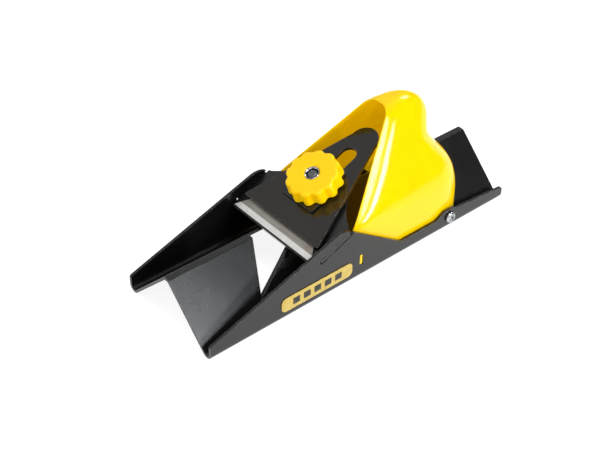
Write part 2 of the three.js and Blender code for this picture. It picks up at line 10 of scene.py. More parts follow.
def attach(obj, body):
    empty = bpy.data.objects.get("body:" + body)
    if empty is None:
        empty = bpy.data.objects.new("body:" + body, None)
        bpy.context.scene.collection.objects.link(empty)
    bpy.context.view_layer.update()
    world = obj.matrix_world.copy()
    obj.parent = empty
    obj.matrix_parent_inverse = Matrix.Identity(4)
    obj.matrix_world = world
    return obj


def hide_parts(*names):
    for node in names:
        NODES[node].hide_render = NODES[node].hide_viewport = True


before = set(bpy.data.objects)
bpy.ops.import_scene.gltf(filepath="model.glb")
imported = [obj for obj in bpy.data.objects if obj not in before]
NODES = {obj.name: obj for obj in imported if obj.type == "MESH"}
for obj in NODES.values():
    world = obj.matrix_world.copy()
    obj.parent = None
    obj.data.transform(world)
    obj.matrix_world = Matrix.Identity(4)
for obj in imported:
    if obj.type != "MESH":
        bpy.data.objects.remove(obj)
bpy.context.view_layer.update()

MM = 0.001

# ---- sizes shared with the CAD -----------------------------------------------------------------
GAP = 0.3
SHEET = 1.5
HALF = 33.9
INNER = HALF - SHEET
RIDGE_FLAT = 3.7
FOLD_R = 3.5
RIDGE_H = HALF - RIDGE_FLAT / 2 + (SHEET - FOLD_R) * math.sqrt(2)
V_TOP = RIDGE_H + RIDGE_FLAT / 2
SLIDE_GAP = 0.4
BED_ANGLE = math.radians(23.7)
EDGE_X = -35.5
EDGE_Z = RIDGE_H - 5.14
BLADE_T = 0.6
BED_T = 2.0
CLAMP_T = 1.8
PRESS_T = 1.2
STUD_X = 34.2
STUD_R = 2.9
STUD_HEAD_R = 6.0
STUD_HEAD_T = 2.6
INSERT_R = 3.9
KNOB_R = 15.0
KNOB_H = 8.2
KNOB_LOBES = 12
PRESS_UNDER = BLADE_T + GAP + CLAMP_T + GAP
KNOB_UNDER = PRESS_UNDER + PRESS_T + GAP
KNOB_TOP = KNOB_UNDER + KNOB_H
BED_UNDER = -GAP - BED_T
SCREW_X = 59.0
SCREW_Z = 7.6
SCREW_R = 1.7
SCREW_HEAD_R = 3.1
SCREW_HEAD_T = 1.9
SCREW_L = 7.5
BOSS_R = 4.4
BOSS_DEPTH = 6.5
GRIP_FRONT = -7.7
GRIP_KNEE_Z = RIDGE_H + 0.8
GRIP_RISE = 43.0
GRIP_WALL = 2.2
GRIP_HALF = INNER - SLIDE_GAP - 0.2
GRIP_FRONT_IN = 1.7
GRIP_NARROW = 0.785
GRIP_TOP_HALF = 2.0
GRIP_FOOT = 5.2
NUB_X = GRIP_FRONT + 3.2
NUB_Z = 11.7
NUB_W = 2.3
NUB_H = 6.6
LABEL_X = -34.0
LABEL_Z = 9.7
LABEL_L = 46.0
LABEL_H = 8.6
LABEL_T = 0.3
LABEL_GAP = 0.1

# ---- sizes of the visual only ------------------------------------------------------------------
LABEL_BARS = 5
LABEL_PITCH = 6.8
LABEL_BAR = 4.4
LABEL_BAR_HALF_H = 2.0
LABEL_INK_SOFT = 0.06  # how softly the print ends
BODY_EDGE = 0.3  # rounding of the cut edges, here to KNOB_EDGE
BED_EDGE = 0.25
BLADE_EDGE = 0.03
CLAMP_EDGE = 0.4
PRESS_EDGE = 0.35
GRIP_EDGE = 0.75
NUB_EDGE = 0.25
BOSS_EDGE = 0.3
KNOB_EDGE = 1.25
KNOB_DRAFT = 0.6
FLUTE_LOW = 1.7  # depth of a flute at the knob's foot, at the rim, and where it dies out on top
FLUTE_RIM = 1.3
FLUTE_TOP = 0.6
BUSH_CHAMFER = 0.6
STUD_PITCH = 1.0
STUD_THREAD = 0.5
SCREW_PITCH = 1.1
SCREW_THREAD = 0.42
CROSS_DEPTH = 1.15
GRIP_LOW = 3.0  # where the grip's surface starts, inside the cut for the sole
GRIP_TURN = 2.7  # how far the front edge turns in, and over what depth
GRIP_REACH = 14.5
GRIP_TURN_FULL = 9.0  # narrower than this at the front, the turn fades
KNEE_SOFT = 1.6
BEVEL_LAND = 3.0  # width of the blade's honed bevel

BED = Matrix.Translation((EDGE_X, 0, EDGE_Z)) @ Matrix.Rotation(-BED_ANGLE, 4, "Y")
ON_STUD = BED @ Matrix.Translation((STUD_X, 0, 0))


# ---- mesh tools --------------------------------------------------------------------------------
def make_object(name, verts, faces, matrix=Matrix()):
    """A mesh object from points in millimetres."""
    mesh = bpy.data.meshes.new(name)
    mesh.from_pydata([(matrix @ Vector(v)) * MM for v in verts], [], faces)
    mesh.validate()
    obj = bpy.data.objects.new(name, mesh)
    bpy.context.scene.collection.objects.link(obj)
    return obj


def smooth(obj, degrees=32.0):
    for poly in obj.data.polygons:
        poly.use_smooth = True
    obj.data.set_sharp_from_angle(angle=math.radians(degrees))
    return obj


def apply_modifiers(obj):
    graph = bpy.context.evaluated_depsgraph_get()
    mesh = bpy.data.meshes.new_from_object(obj.evaluated_get(graph), depsgraph=graph)
    obj.modifiers.clear()
    old = obj.data
    obj.data = mesh
    mesh.name = obj.name
    bpy.data.meshes.remove(old)
    return obj


def outward(obj):
    bm = bmesh.new()
    bm.from_mesh(obj.data)
    bmesh.ops.recalc_face_normals(bm, faces=bm.faces)
    bm.to_mesh(obj.data)
    bm.free()
    return obj


def bevel(obj, width, segments=3, degrees=34.0):
    mod = obj.modifiers.new("edge", "BEVEL")
    mod.width = width * MM
    mod.segments = segments
    mod.limit_method = "ANGLE"
    mod.angle_limit = math.radians(degrees)
    mod.use_clamp_overlap = True
    mod.harden_normals = False
    mod.miter_outer = "MITER_ARC"
    return apply_modifiers(obj)


def flat_faced(obj):
    """Keeps wide flat faces evenly shaded, so that only the rounded edges bend the light."""
    mod = obj.modifiers.new("normals", "WEIGHTED_NORMAL")
    mod.mode = "FACE_AREA"
    mod.weight = 100
    mod.keep_sharp = True
    return apply_modifiers(obj)


def from_cad(name, node, width, segments=3, flat=0.6):
    """A copy of a CAD node with its flat faces joined and its edges rounded."""
    source = NODES[node]
    mesh = source.data.copy()
    mesh.name = name
    mesh.materials.clear()
    obj = bpy.data.objects.new(name, mesh)
    bpy.context.scene.collection.objects.link(obj)
    obj.matrix_world = source.matrix_world.copy()
    bm = bmesh.new()
    bm.from_mesh(mesh)
    bmesh.ops.remove_doubles(bm, verts=bm.verts, dist=2e-6)
    bmesh.ops.dissolve_limit(
        bm, angle_limit=math.radians(flat), verts=bm.verts, edges=bm.edges, delimit=set()
    )
    bm.to_mesh(mesh)
    bm.free()
    if width:
        bevel(obj, width, segments)
    return flat_faced(smooth(obj))


def ring_mesh(name, rings, closed=False, cap_low=False, cap_high=False, matrix=Matrix()):
    """Quads between rings of equally many points. closed joins the last ring to the first."""
    count = len(rings[0])
    verts = [p for ring in rings for p in ring]
    faces = []
    last = len(rings) if closed else len(rings) - 1
    for i in range(last):
        j = (i + 1) % len(rings)
        for k in range(count):
            n = (k + 1) % count
            faces.append((i * count + k, i * count + n, j * count + n, j * count + k))
    if cap_low:
        faces.append(tuple(reversed(range(count))))
    if cap_high:
        top = (len(rings) - 1) * count
        faces.append(tuple(top + k for k in range(count)))
    return outward(make_object(name, verts, faces, matrix))


def boolean(obj, cutter, operation="DIFFERENCE"):
    mod = obj.modifiers.new("cut", "BOOLEAN")
    mod.operation = operation
    mod.solver = "EXACT"
    mod.object = cutter
    apply_modifiers(obj)
    bpy.data.objects.remove(cutter, do_unlink=True)
    return obj


def box_object(name, low, high, matrix=Matrix()):
    verts = [(x, y, z) for x in (low[0], high[0]) for y in (low[1], high[1])
             for z in (low[2], high[2])]
    faces = [(0, 1, 3, 2), (4, 6, 7, 5), (0, 4, 5, 1), (2, 3, 7, 6), (0, 2, 6, 4), (1, 5, 7, 3)]
    return outward(make_object(name, verts, faces, matrix))


def circle(radius, z, count, wave=None):
    points = []
    for k in range(count):
        a = 2 * math.pi * k / count
        r = radius if wave is None else radius + wave(a, z)
        points.append((r * math.cos(a), r * math.sin(a), z))
    return points


def ease(t):
    t = min(1.0, max(0.0, t))
    return t * t * (3 - 2 * t)


# ---- materials ---------------------------------------------------------------------------------
def srgb(r, g, b):
    def linear(v):
        v /= 255
        return v / 12.92 if v <= 0.04045 else ((v + 0.055) / 1.055) ** 2.4

    return (linear(r), linear(g), linear(b), 1.0)


class Nodes:
    """Short names for building one material's node tree."""

    def __init__(self, name):
        self.material = bpy.data.materials.new(name)
        self.material.use_nodes = True
        self.tree = self.material.node_tree
        self.shader = self.tree.nodes["Principled BSDF"]
        self.place = self.add("ShaderNodeTexCoord").outputs["Object"]

    def add(self, kind, **values):
        node = self.tree.nodes.new(kind)
        for key, value in values.items():
            setattr(node, key, value)
        return node

    def link(self, out, socket):
        self.tree.links.new(out, socket)

    def set(self, **values):
        for key, value in values.items():
            self.shader.inputs[key.replace("_", " ")].default_value = value

    def noise(self, scale, detail=3.0, roughness=0.5, stretch=None, distortion=0.0):
        node = self.add("ShaderNodeTexNoise")
        node.inputs["Scale"].default_value = scale
        node.inputs["Detail"].default_value = detail
        node.inputs["Roughness"].default_value = roughness
        node.inputs["Distortion"].default_value = distortion
        source = self.place
        if stretch is not None:
            mapping = self.add("ShaderNodeMapping")
            mapping.inputs["Scale"].default_value = stretch
            self.link(source, mapping.inputs["Vector"])
            source = mapping.outputs["Vector"]
        self.link(source, node.inputs["Vector"])
        return node.outputs["Fac"]

    def grey(self, fac, low, high, start=0.3, end=0.7):
        node = self.add("ShaderNodeMapRange")
        node.inputs["From Min"].default_value = start
        node.inputs["From Max"].default_value = end
        node.inputs["To Min"].default_value = low
        node.inputs["To Max"].default_value = high
        self.link(fac, node.inputs["Value"])
        return node.outputs["Result"]

    def mix(self, fac, a, b):
        node = self.add("ShaderNodeMix", data_type="RGBA")
        for value, socket in ((fac, node.inputs[0]), (a, node.inputs[6]), (b, node.inputs[7])):
            if hasattr(value, "links"):
                self.link(value, socket)
            else:
                socket.default_value = value
        return node.outputs[2]

    def math(self, operation, a, b=0.0):
        node = self.add("ShaderNodeMath", operation=operation)
        for value, socket in ((a, node.inputs[0]), (b, node.inputs[1])):
            if hasattr(value, "links"):
                self.link(value, socket)
            else:
                socket.default_value = value
        return node.outputs[0]

    def bump(self, height, strength, distance, before=None):
        node = self.add("ShaderNodeBump")
        node.inputs["Strength"].default_value = strength
        node.inputs["Distance"].default_value = distance
        self.link(height, node.inputs["Height"])
        if before is not None:
            self.link(before, node.inputs["Normal"])
        return node.outputs["Normal"]

    def edges(self, radius=0.45):
        """1 on rounded edges, 0 on flats."""
        rounded = self.add("ShaderNodeBevel", samples=4)
        rounded.inputs["Radius"].default_value = radius * MM
        geometry = self.add("ShaderNodeNewGeometry")
        dot = self.add("ShaderNodeVectorMath", operation="DOT_PRODUCT")
        self.link(rounded.outputs["Normal"], dot.inputs[0])
        self.link(geometry.outputs["True Normal"], dot.inputs[1])
        return self.grey(dot.outputs["Value"], 1.0, 0.0, 0.9, 0.995)


def enamel(name, base, worn_and_highlight_colour, rough, peel, specular=0.5):
    """Stoved enamel: orange peel, faint dust, and lighter edges that are partly rubbed-through wear
    and partly a painted edge highlight.
    """
    n = Nodes(name)
    patches = n.noise(28, 4, 0.55)
    lighter = tuple(v * 1.25 for v in base[:3]) + (1.0,)
    colour = n.mix(n.grey(patches, 0.0, 1.0, 0.35, 0.65), base, lighter)
    specks = n.grey(n.noise(2600, 2, 0.6), 0.0, 0.16, 0.7, 0.77)
    colour = n.mix(specks, colour, srgb(92, 92, 88))
    # edges painted a lighter grey in noisy patches: partly rubbed-through wear, partly a painted
    # highlight along the edges
    edge_wear_and_highlight = n.math("MULTIPLY", n.edges(), n.grey(n.noise(340, 4, 0.7), 0.05, 0.75, 0.46, 0.62))
    colour = n.mix(edge_wear_and_highlight, colour, worn_and_highlight_colour)
    n.link(colour, n.shader.inputs["Base Color"])
    smear = n.noise(60, 5, 0.6, (1.0, 0.35, 1.0), 0.4)
    n.link(n.grey(smear, rough - 0.02, rough + 0.03, 0.3, 0.7), n.shader.inputs["Roughness"])
    fine = n.bump(n.noise(1500, 2, 0.5), peel, 0.00006)
    n.link(n.bump(n.noise(190, 3, 0.5), peel * 0.6, 0.0002, fine), n.shader.inputs["Normal"])
    n.set(Specular_IOR_Level=specular)
    return n.material


def plastic(name, base, deep, rough):
    """Glossy, slightly translucent plastic with a painted yellow glow: flow pattern, grime and
    scuffs.
    """
    n = Nodes(name)
    flow = n.noise(22, 4, 0.5, (1.0, 1.0, 0.5), 0.6)
    colour = n.mix(n.grey(flow, 0.0, 1.0, 0.32, 0.7), base, deep)
    grime = n.grey(n.noise(900, 3, 0.7), 0.0, 0.12, 0.62, 0.78)
    colour = n.mix(grime, colour, srgb(205, 150, 10))
    n.link(colour, n.shader.inputs["Base Color"])
    scuffs = n.noise(420, 4, 0.6, (1.0, 0.12, 1.0), 0.5)
    n.link(n.grey(scuffs, rough - 0.03, rough + 0.08, 0.35, 0.75), n.shader.inputs["Roughness"])
    fine = n.bump(n.noise(1700, 2, 0.5), 0.035, 0.00005)
    n.link(n.bump(n.noise(70, 2, 0.4), 0.05, 0.0004, fine), n.shader.inputs["Normal"])
    n.set(Specular_IOR_Level=0.27, IOR=1.5, Subsurface_Weight=0.5, Subsurface_Scale=0.006)
    n.shader.inputs["Subsurface Radius"].default_value = (1.0, 0.6, 0.05)
    # painted glow: a weak yellow emission lights the plastic a little whatever the lamps do,
    # lifting its shaded sides
    n.set(Emission_Color=(1.0, 0.72, 0.0, 1), Emission_Strength=0.25)
    return n.material


def metal(name, base, dark, rough, stretch=(1.0, 1.0, 1.0), scale=700.0, strength=0.12):
    """Plated or ground steel with fine marks along one way."""
    n = Nodes(name)
    marks = n.noise(scale, 4, 0.65, stretch)
    stain = n.noise(90, 4, 0.6)
    colour = n.mix(n.grey(marks, 0.0, 1.0, 0.35, 0.65), base, dark)
    colour = n.mix(n.grey(stain, 0.0, 0.4, 0.5, 0.75), colour, dark)
    n.link(colour, n.shader.inputs["Base Color"])
    n.link(n.grey(marks, rough - 0.08, rough + 0.1), n.shader.inputs["Roughness"])
    n.link(n.bump(marks, strength, 0.00005), n.shader.inputs["Normal"])
    n.set(Metallic=1.0)
    return n.material


def blade_steel():
    """Ground steel: cross-ground marks, and a honed bevel along the edge, painted much lighter: its
    real honed finish plus a painted sheen.
    """
    n = Nodes("blade_steel")
    axis = n.add("ShaderNodeVectorMath", operation="DOT_PRODUCT")
    axis.inputs[1].default_value = (math.cos(BED_ANGLE), 0, math.sin(BED_ANGLE))
    n.link(n.place, axis.inputs[0])
    start = (EDGE_X * math.cos(BED_ANGLE) + EDGE_Z * math.sin(BED_ANGLE)) * MM
    along = n.math("SUBTRACT", axis.outputs["Value"], start)
    body = n.grey(along, 0.0, 1.0, (BEVEL_LAND - 0.2) * MM, (BEVEL_LAND + 0.2) * MM)
    grain = n.noise(500, 5, 0.7, (2.2, 0.12, 2.2))
    cross = n.noise(900, 3, 0.6, (0.15, 2.4, 0.15))
    stain = n.noise(65, 5, 0.62, None, 0.8)
    plain = n.mix(n.grey(grain, 0.0, 1.0, 0.3, 0.7), srgb(160, 156, 148), srgb(126, 121, 114))
    plain = n.mix(n.grey(stain, 0.0, 0.55, 0.52, 0.72), plain, srgb(128, 112, 100))
    # the honed bevel's colour is painted far lighter than the ground steel: a painted sheen for the
    # bevel's bright reflection, on top of its real honed finish
    honed_with_painted_sheen = n.mix(n.grey(cross, 0.0, 1.0, 0.3, 0.7), srgb(226, 226, 222), srgb(204, 204, 200))
    n.link(n.mix(body, honed_with_painted_sheen, plain), n.shader.inputs["Base Color"])
    n.link(n.grey(grain, 0.38, 0.52), n.shader.inputs["Roughness"])
    n.link(n.bump(grain, 0.1, 0.00004), n.shader.inputs["Normal"])
    n.set(Metallic=0.75)
    return n.material


def label_foil():
    """Gold foil printed with a row of plain dark bars."""
    n = Nodes("label_foil")
    sep = n.add("ShaderNodeSeparateXYZ")
    n.link(n.place, sep.inputs[0])
    u = n.math("ABSOLUTE", n.math("SUBTRACT", sep.outputs["X"], LABEL_X * MM))
    v = n.math("ABSOLUTE", n.math("SUBTRACT", sep.outputs["Z"], LABEL_Z * MM))

    def inside(half_u, half_v):
        a, b = (
            n.grey(way, 1.0, 0.0, (half - LABEL_INK_SOFT) * MM, (half + LABEL_INK_SOFT) * MM)
            for way, half in ((u, half_u), (v, half_v))
        )
        return n.math("MULTIPLY", a, b)

    # whole pitches are added so that the remainder is never taken of a negative number
    start = (20 * LABEL_PITCH - LABEL_X + LABEL_BAR / 2) * MM
    across = n.math("MODULO", n.math("ADD", sep.outputs["X"], start), LABEL_PITCH * MM)
    row = inside(LABEL_BARS / 2 * LABEL_PITCH, LABEL_BAR_HALF_H)
    bar = n.math("MULTIPLY", row, n.math("LESS_THAN", across, LABEL_BAR * MM))
    sheen = n.noise(420, 4, 0.6)
    gold = n.mix(n.grey(sheen, 0.0, 1.0, 0.3, 0.7), srgb(200, 176, 92), srgb(184, 156, 70))
    print_wear = n.grey(n.noise(1500, 3, 0.7), 0.82, 1.0, 0.3, 0.45)
    ink = n.math("MULTIPLY", bar, print_wear)
    n.link(n.mix(ink, gold, srgb(30, 28, 24)), n.shader.inputs["Base Color"])
    n.link(n.grey(sheen, 0.3, 0.45), n.shader.inputs["Roughness"])
    n.link(n.bump(sheen, 0.06, 0.00004), n.shader.inputs["Normal"])
    n.set(Metallic=0.15)
    return n.material


# the third colour of each enamel is its lighter edge colour: partly wear, partly a painted edge
# highlight
SOLE = enamel("sole_enamel", (0.004, 0.004, 0.0042, 1), srgb(120, 118, 112), 0.25, 0.2)
CLAMP = enamel("clamp_enamel", (0.0085, 0.0072, 0.0055, 1), srgb(140, 136, 130), 0.14, 0.04)
YELLOW = plastic("yellow_plastic", srgb(234, 180, 0), srgb(232, 173, 0), 0.11)
ZINC = metal("zinc_plate", srgb(214, 216, 218), srgb(150, 152, 158), 0.26)
STEEL = metal("stud_steel", srgb(134, 134, 136), srgb(66, 66, 70), 0.36)
BLADE = blade_steel()
LABEL = label_foil()


def finish_piece(obj, material, body, slot, *nodes):
    obj.data.materials.clear()
    obj.data.materials.append(material)
    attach(obj, body)
    if nodes:
        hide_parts(*nodes)
    return obj


# ---- sheet metal pieces ------------------------------------------------------------------------
# name, CAD node, edge, segments, material, body, slot
PLATES = [
    ("sole_shell", "body", BODY_EDGE, 3, SOLE, "frame", "sole_paint"),
    ("blade_bed", "bed_plate", BED_EDGE, 3, SOLE, "frame", "sole_paint"),
    ("trapezoid_blade", "blade", BLADE_EDGE, 1, BLADE, "cutter", "blade_steel"),
    ("clamp_cover", "clamp_plate", CLAMP_EDGE, 3, CLAMP, "clamp", "clamp_paint"),
    ("pressure_pad", "pressure_plate", PRESS_EDGE, 3, CLAMP, "pressure", "pressure_paint"),
]
for name, node, edge, segments, material, body, slot in PLATES:
    finish_piece(from_cad(name, node, edge, segments), material, body, slot, node)


# ---- knob --------------------------------------------------------------------------------------
def knob():
    """A scalloped knob: the flutes end in round scoops under the top rim."""
    count = KNOB_LOBES * 20
    bore = INSERT_R + GAP
    base, top = KNOB_UNDER, KNOB_TOP
    foot = 0.6  # height of the rounded foot

    def flute(depth):
        def wave(a, z):
            dip = (1 - math.cos(KNOB_LOBES * a)) / 2
            return -depth * dip**1.4

        return wave

    rings = [circle(bore + 0.3, base, count), circle(KNOB_R * 0.6, base, count)]
    rings.append(circle(KNOB_R - 1.2, base, count, flute(FLUTE_LOW - 0.2)))
    rings.append(circle(KNOB_R - 0.35, base + 0.08, count, flute(FLUTE_LOW - 0.06)))
    rings.append(circle(KNOB_R - 0.08, base + 0.3, count, flute(FLUTE_LOW - 0.02)))
    steps = 22
    for i in range(steps + 1):
        t = i / steps
        z = base + foot + (KNOB_H - foot - KNOB_EDGE) * t
        depth = FLUTE_LOW - (FLUTE_LOW - FLUTE_RIM) * ease((t - 0.5) / 0.5)
        rings.append(circle(KNOB_R - KNOB_DRAFT * t, z, count, flute(depth)))
    for i in range(1, 9):
        a = math.pi / 2 * i / 8
        z = top - KNOB_EDGE + KNOB_EDGE * math.sin(a)
        r = KNOB_R - KNOB_DRAFT - KNOB_EDGE * (1 - math.cos(a))
        rings.append(circle(r, z, count, flute(FLUTE_RIM - 0.4 * i / 8)))
    for share, drop in ((0.82, 0.0), (0.6, 0.02), (0.45, 0.04)):
        rings.append(circle(KNOB_R * share, top - drop, count, flute(FLUTE_TOP * (share > 0.8))))
    mouth = [(0.7, -0.05), (0.4, -0.1), (0.16, -0.24), (0.03, -0.5), (0.0, -0.9)]
    mouth.append((0.0, 0.4 - KNOB_H))
    for r, z in mouth:
        rings.append(circle(bore + r, top + z, count))
    return ring_mesh("clamp_knob", rings, closed=True, matrix=ON_STUD)


finish_piece(smooth(knob(), 45), YELLOW, "knob_unit", "yellow_plastic", "knob")


def insert():
    """The metal bush moulded into the knob, with a chamfered mouth."""
    count = 96
    low, high = KNOB_UNDER + 0.05, KNOB_TOP - 0.2
    inner = STUD_R + GAP
    profile = [
        (inner + 0.2, low),
        (INSERT_R - 0.15, low),
        (INSERT_R, low + 0.15),
        (INSERT_R, high - 0.12),
        (INSERT_R - 0.1, high),
        (INSERT_R - 0.2, high),
        (INSERT_R - 0.3, high - 0.06),
        (inner, high - BUSH_CHAMFER),
        (inner, low + 0.2),
    ]
    rings = [circle(r, z, count) for r, z in profile]
    return ring_mesh("knob_bush", rings, closed=True, matrix=ON_STUD)


finish_piece(smooth(insert(), 30), ZINC, "knob_unit", "zinc_plate", "knob_insert")


def threaded(name, profile, start, end, pitch, depth, count, matrix, step):
    """A lathed solid whose stretch from start to end carries a helical thread."""

    def wave(a, z):
        if z < start or z > end:
            return 0.0
        fade = min(1.0, (z - start) / pitch, (end - z) / pitch)
        phase = (z / pitch - a / (2 * math.pi)) % 1.0
        return -depth * fade * (1 - abs(2 * phase - 1))

    rings = []
    for (r0, z0), (r1, z1) in zip(profile, profile[1:]):
        in_thread = z0 >= start - 1e-6 and z1 <= end + 1e-6
        steps = max(1, round((z1 - z0) / step)) if in_thread else 1
        for i in range(steps):
            t = i / steps
            rings.append(circle(r0 + (r1 - r0) * t, z0 + (z1 - z0) * t, count, wave))
    r, z = profile[-1]
    rings.append(circle(r, z, count, wave))
    return ring_mesh(name, rings, cap_low=True, cap_high=True, matrix=matrix)


def stud():
    head = BED_UNDER - GAP
    top = KNOB_TOP - 0.5
    profile = [
        (2.6, head - STUD_HEAD_T),
        (4.1, head - STUD_HEAD_T + 0.22),
        (5.2, head - STUD_HEAD_T + 0.7),
        (5.8, head - STUD_HEAD_T + 1.3),
        (STUD_HEAD_R, head - 0.5),
        (STUD_HEAD_R, head - 0.2),
        (STUD_HEAD_R - 0.15, head - 0.02),
        (STUD_R + 0.1, head),
        (STUD_R - 0.02, head + 0.1),
        (STUD_R - 0.02, 0.6),
        (STUD_R - 0.02, top - 1.1),
        (STUD_R - 0.75, top - 0.3),
        (STUD_R - 1.1, top - 0.25),
    ]
    thread = (0.6, top - 1.1, STUD_PITCH, STUD_THREAD)
    return threaded("clamp_bolt", profile, *thread, 72, ON_STUD, 0.09)


finish_piece(smooth(stud(), 50), STEEL, "frame", "stud_steel", "clamp_stud")


# ---- grip --------------------------------------------------------------------------------------
# height (share of the knee's height, or of the rise above it), half width (share of the grip's),
# where the round back begins and ends, from the screws, and how square the back is
BELOW = [(0.07, 1, -11, 18, 3), (0.67, 0.997, -11, 17.5, 3), (1, 0.981, -12, 16, 2.8)]
ABOVE = [
    (0.139, 0.912, -13, 13.5, 2.7),
    (0.279, 0.811, -14, 9, 2.5),
    (0.395, 0.717, -14, 5.5, 2.3),
    (0.512, 0.616, -14, 3.5, 2.2),
    (0.628, 0.522, -13, 5, 2.1),
    (0.721, 0.453, -13, 6.5, 2),
    (0.814, 0.377, -13, 5, 2),
    (0.895, 0.302, -14, 1.5, 2),
    (0.96, 0.214, -16, -4, 2),
    (0.993, 0.132, -18, -9.5, 2),
    (1, 0.069, -19, -13, 2),
]
STATIONS = [(z * GRIP_KNEE_Z, *rest) for z, *rest in BELOW]
STATIONS += [(GRIP_KNEE_Z + z * GRIP_RISE, *rest) for z, *rest in ABOVE]
STATIONS = [(z, h * GRIP_HALF, SCREW_X + b, SCREW_X + e, q) for z, h, b, e, q in STATIONS]


def station(z):
    """The outline's four numbers at a height, by a smooth curve through the stations."""
    rows = STATIONS
    i = max(0, min(len(rows) - 2, sum(1 for r in rows if r[0] <= z) - 1))
    a, b, c, d = (rows[max(0, min(len(rows) - 1, i + k))] for k in (-1, 0, 1, 2))
    t = (z - b[0]) / (c[0] - b[0])
    t = max(0.0, min(1.0, t))

    def slope(lo, hi, j):
        return (hi[j] - lo[j]) / max(1e-6, hi[0] - lo[0])

    out = []
    span = c[0] - b[0]
    for j in range(1, 5):
        m0 = slope(a, c, j) * span
        m1 = slope(b, d, j) * span
        h00, h10 = 2 * t**3 - 3 * t**2 + 1, t**3 - 2 * t**2 + t
        h01, h11 = -2 * t**3 + 3 * t**2, t**3 - t**2
        out.append(h00 * b[j] + h10 * m0 + h01 * c[j] + h11 * m1)
    return out


def above_knee(z):
    return max(0.0, z - GRIP_KNEE_Z)


def front_half(z):
    soft_rise = KNEE_SOFT * math.log1p(math.exp((z - GRIP_KNEE_Z) / KNEE_SOFT))
    lean = (INNER - GRIP_FRONT_IN) * (1 - GRIP_NARROW * soft_rise / GRIP_RISE)
    return max(GRIP_TOP_HALF, lean)


def grip_row(z):
    """Points from the open front round the back, near side first; the front edge turns inwards."""
    half, back_x, end_x, square = station(z)
    x0 = GRIP_FRONT + above_knee(z)
    front = min(half, front_half(z))
    side, side_steps, back_steps = [], 34, 30
    turn = GRIP_TURN * min(1.0, front / GRIP_TURN_FULL)
    for k in range(side_steps):
        t = (k / side_steps) ** 1.35
        x = x0 + (back_x - x0) * t
        y = front + (half - front) * t
        y += turn * (1 - max(0.0, 1 - (x - x0) / GRIP_REACH) ** 2) * (1 - t)
        side.append((x, min(y, GRIP_HALF), z))
    for k in range(back_steps + 1):
        a = math.pi / 2 * k / back_steps
        x = back_x + (end_x - back_x) * math.sin(a) ** (2 / square)
        y = half * max(0.0, math.cos(a)) ** (2 / square)
        side.append((x, 0.0 if k == back_steps else y, z))
    near = [(x, -y, z) for x, y, z in side]
    return near + side[-2::-1]


def grip_skin():
    """The grip's outer surface, one face thick and facing out."""
    top = STATIONS[-1][0]
    rows = 84
    levels = []
    for i in range(rows + 1):
        t = i / rows
        levels.append(GRIP_LOW + (top - GRIP_LOW) * (1 - (1 - t) ** 1.25))
    grid = [grip_row(z) for z in levels]
    count = len(grid[0])
    verts = [p for row in grid for p in row]
    faces = []
    for i in range(rows):
        for k in range(count - 1):
            a = i * count + k
            faces.append((a, a + 1, a + count + 1, a + count))
    lid = [rows * count + k for k in range(count)]
    half_count = count // 2
    for k in range(half_count):
        a, b = lid[k], lid[k + 1]
        c, d = lid[count - 2 - k], lid[count - 1 - k]
        faces.append((a, b, c, d) if b != c else (a, b, d))
    obj = outward(make_object("palm_grip", verts, faces))
    bm = bmesh.new()
    bm.from_mesh(obj.data)
    bmesh.ops.recalc_face_normals(bm, faces=bm.faces)
    centre = Vector((0.035, 0, 0.03))
    face = max(bm.faces, key=lambda f: f.calc_center_median().x)
    if face.normal.dot(face.calc_center_median() - centre) < 0:
        bmesh.ops.reverse_faces(bm, faces=bm.faces)
    bm.to_mesh(obj.data)
    bm.free()
    return obj


def sole_cut():
    """The room that the sole's ridge and the folds take out of the grip's foot."""
    clear = SLIDE_GAP * math.sqrt(2)
    foot_y = V_TOP + clear - GRIP_FOOT
    ridge_y = V_TOP + clear - RIDGE_H - SLIDE_GAP
    section = [
        (-60, -10),
        (60, -10),
        (60, GRIP_FOOT),
        (foot_y, GRIP_FOOT),
        (ridge_y, RIDGE_H + SLIDE_GAP),
        (-ridge_y, RIDGE_H + SLIDE_GAP),
        (-foot_y, GRIP_FOOT),
        (-60, GRIP_FOOT),
    ]
    n = len(section)
    verts = [(x, y, z) for x in (-120, 120) for y, z in section]
    faces = [(k, (k + 1) % n, n + (k + 1) % n, n + k) for k in range(n)]
    faces += [tuple(range(n)), tuple(reversed(range(n, 2 * n)))]
    return outward(make_object("sole_cut", verts, faces))


def grip():
    obj = grip_skin()
    shell = obj.modifiers.new("shell", "SOLIDIFY")
    shell.thickness = GRIP_WALL * MM
    shell.offset = -1
    shell.use_even_offset = True
    shell.thickness_clamp = 0.9
    apply_modifiers(obj)
    bevel(obj, GRIP_EDGE, 4, 50)
    boolean(obj, sole_cut())
    for side in (-1, 1):
        y = sorted((side * (INNER - GRIP_WALL), side * (HALF - GAP)))
        nub = box_object(
            "nub",
            (NUB_X - NUB_W / 2 + GAP, y[0], NUB_Z - NUB_H / 2 + GAP),
            (NUB_X + NUB_W / 2 - GAP, y[1], NUB_Z + NUB_H / 2 - GAP),
        )
        bevel(nub, NUB_EDGE, 2)
        boolean(obj, nub, "UNION")
        turn = Matrix.Rotation(-side * math.pi / 2, 4, "X")
        matrix = Matrix.Translation((SCREW_X, 0, SCREW_Z)) @ turn
        boss_end = INNER - SLIDE_GAP - BOSS_DEPTH
        rings = [
            circle(BOSS_R - BOSS_EDGE, boss_end, 64),
            circle(BOSS_R, boss_end + BOSS_EDGE, 64),
            circle(BOSS_R, INNER - SLIDE_GAP - 0.9, 64),
        ]
        boss = ring_mesh("boss", rings, cap_low=True, cap_high=True, matrix=matrix)
        boolean(obj, boss, "UNION")
        rings = [circle(SCREW_R + GAP, z, 48) for z in (boss_end - 8, HALF + 1)]
        boolean(obj, ring_mesh("pilot", rings, cap_low=True, cap_high=True, matrix=matrix))
    return obj


finish_piece(smooth(grip(), 40), YELLOW, "frame", "yellow_plastic", "handle")


